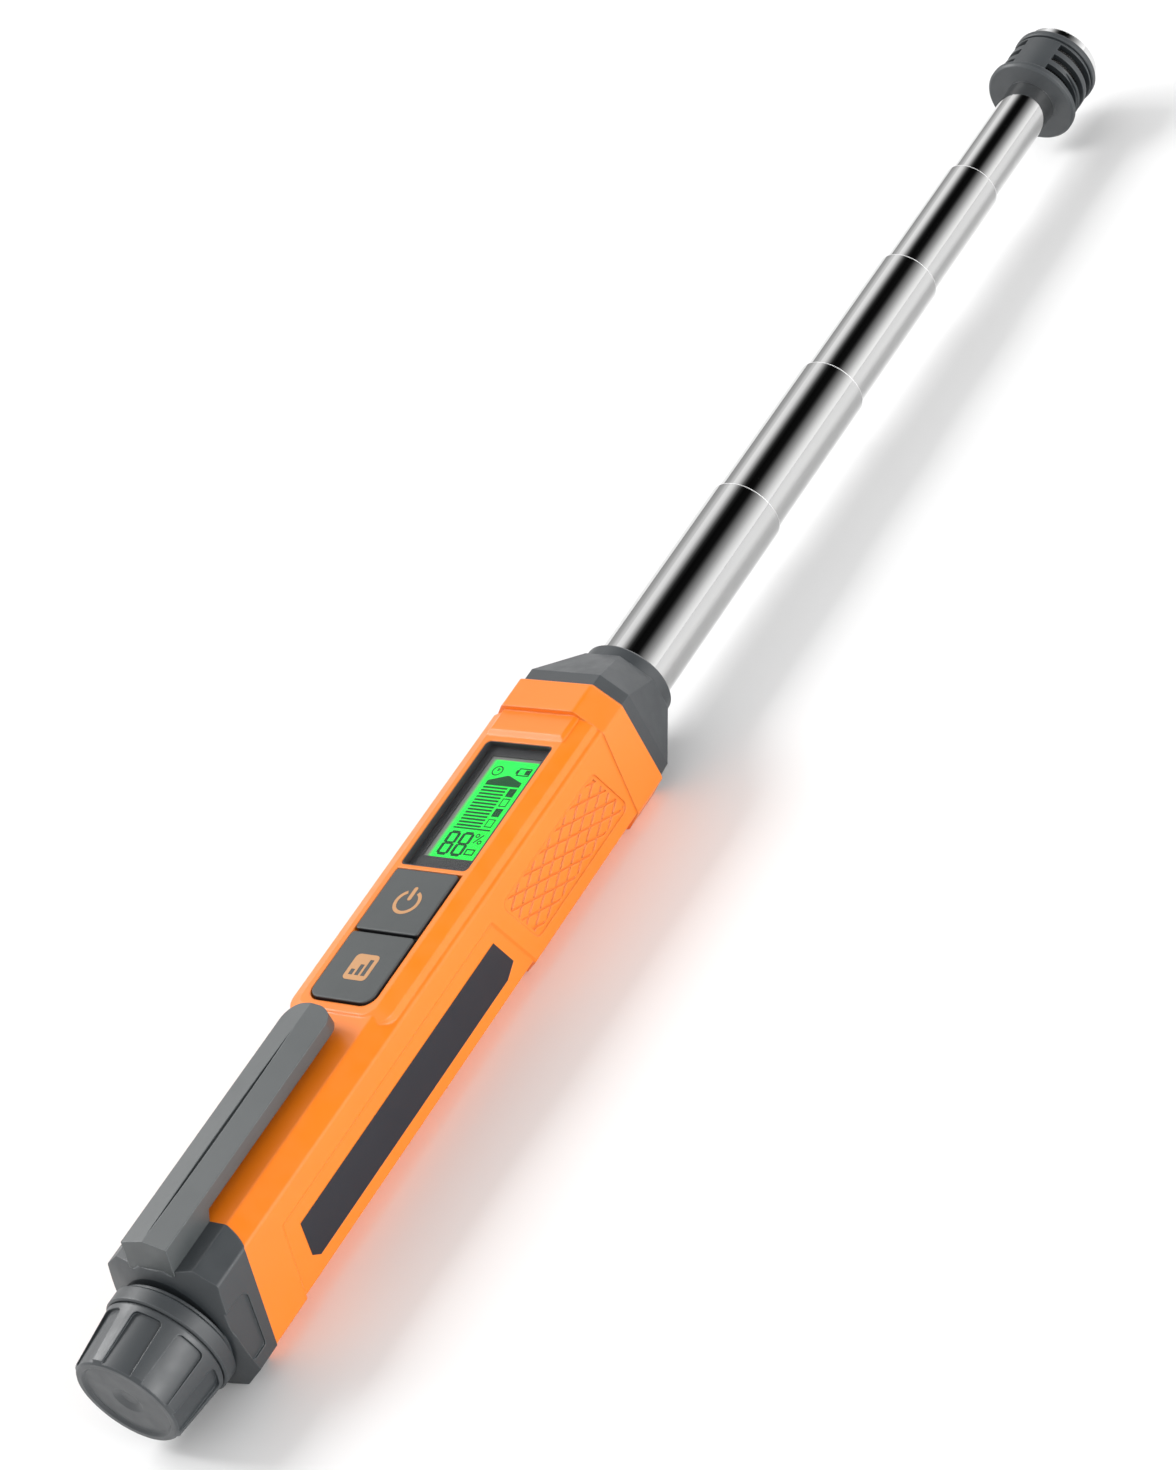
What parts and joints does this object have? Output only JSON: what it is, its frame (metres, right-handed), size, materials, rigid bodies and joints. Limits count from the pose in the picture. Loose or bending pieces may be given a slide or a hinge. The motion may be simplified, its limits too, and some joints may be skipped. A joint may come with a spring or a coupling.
{
  "type": "combustible gas detector",
  "caption": "Pen-type combustible gas detector lying on its back, its telescopic probe drawn out, with display, two keys, pocket clip and screw battery cap.",
  "frame": {"origin": "Centre of the detector's footprint, on the plane its flat back rests on", "axes": "+X along the probe towards the sensor head, +Z out of the display, the label plate on the -Y side"},
  "size_m": [0.3526, 0.0258, 0.0312],
  "materials": {
    "orange_plastic": "fine satin grain",
    "grey_plastic": "fine satin grain",
    "key_plastic": "satin",
    "label_film": "satin",
    "clear_lens": "gloss",
    "mask_ink": "gloss",
    "lcd_glass": "satin",
    "backlight_plastic": "satin",
    "board": "satin",
    "switch_plastic": "satin",
    "probe_steel": "brushed",
    "chrome": "polished",
    "mesh_steel": "fine mesh",
    "brass": "satin",
    "spring_steel": "satin",
    "seal_rubber": "matte",
    "cell_sleeve": "satin"
  },
  "bodies": {
    "body": {"housing": "orange_plastic", "rear_shell": "grey_plastic", "nose_cone": "grey_plastic", "pocket_clip": "grey_plastic", "label_plate": "label_film", "display_lens": "clear_lens", "display_mask": "mask_ink", "lcd_panel": "lcd_glass", "lcd_backlight": "backlight_plastic", "main_board": "board", "power_switch": "switch_plastic", "sensitivity_switch": "switch_plastic", "buzzer": "switch_plastic", "battery_sleeve": "switch_plastic", "guide_tube": "probe_steel", "cell_rear": "cell_sleeve", "cell_front": "cell_sleeve", "front_contact": "spring_steel"},
    "tube_section_1": {"tube_1": "probe_steel", "bush_1": "brass"},
    "tube_section_2": {"tube_2": "probe_steel", "bush_2": "brass"},
    "tube_section_3": {"tube_3": "probe_steel", "bush_3": "brass"},
    "tube_section_4": {"tube_4": "probe_steel", "bush_4": "brass"},
    "tube_section_5": {"tube_5": "probe_steel", "bush_5": "brass", "sensor_cage": "grey_plastic", "sensor_bezel": "chrome", "sensor_mesh": "mesh_steel", "sensor_header": "board", "sensor_element": "spring_steel"},
    "cap_carrier": {"cap_spring": "spring_steel", "cap_contact": "spring_steel"},
    "cap": {"battery_cap": "grey_plastic", "cap_seal": "seal_rubber"},
    "power_key": {"power_button": "key_plastic"},
    "sensitivity_key": {"sensitivity_button": "key_plastic"}
  },
  "joints": [
    {"name": "tube_1_slide", "type": "slide", "parent": "body", "child": "tube_section_1", "axis": [1, 0, 0], "range_m": [-0.0443, 0]},
    {"name": "tube_2_slide", "type": "slide", "parent": "tube_section_1", "child": "tube_section_2", "axis": [1, 0, 0], "range_m": [-0.0342, 0]},
    {"name": "tube_3_slide", "type": "slide", "parent": "tube_section_2", "child": "tube_section_3", "axis": [1, 0, 0], "range_m": [-0.0317, 0]},
    {"name": "tube_4_slide", "type": "slide", "parent": "tube_section_3", "child": "tube_section_4", "axis": [1, 0, 0], "range_m": [-0.0272, 0]},
    {"name": "tube_5_slide", "type": "slide", "parent": "tube_section_4", "child": "tube_section_5", "axis": [1, 0, 0], "range_m": [-0.0259, 0]},
    {"name": "cap_lift", "type": "slide", "parent": "body", "child": "cap_carrier", "axis": [-1, 0, 0], "range_m": [0, 0.00676]},
    {"name": "cap_turn", "type": "hinge", "parent": "cap_carrier", "child": "cap", "pos_m": [-0.1684, 0, 0.01355], "axis": [-1, 0, 0], "range_deg": [0, 1623]},
    {"name": "power_press", "type": "slide", "parent": "body", "child": "power_key", "axis": [0, 0, -1], "range_m": [0, 0.0004], "stiffness_N_per_m": 250, "springref_m": -0.0002},
    {"name": "sensitivity_press", "type": "slide", "parent": "body", "child": "sensitivity_key", "axis": [0, 0, -1], "range_m": [0, 0.0004], "stiffness_N_per_m": 250, "springref_m": -0.0002}
  ],
  "couplings": [
    {"joint": "cap_turn", "follows": "cap_lift", "rad_per_m": 4188.8}
  ]
}
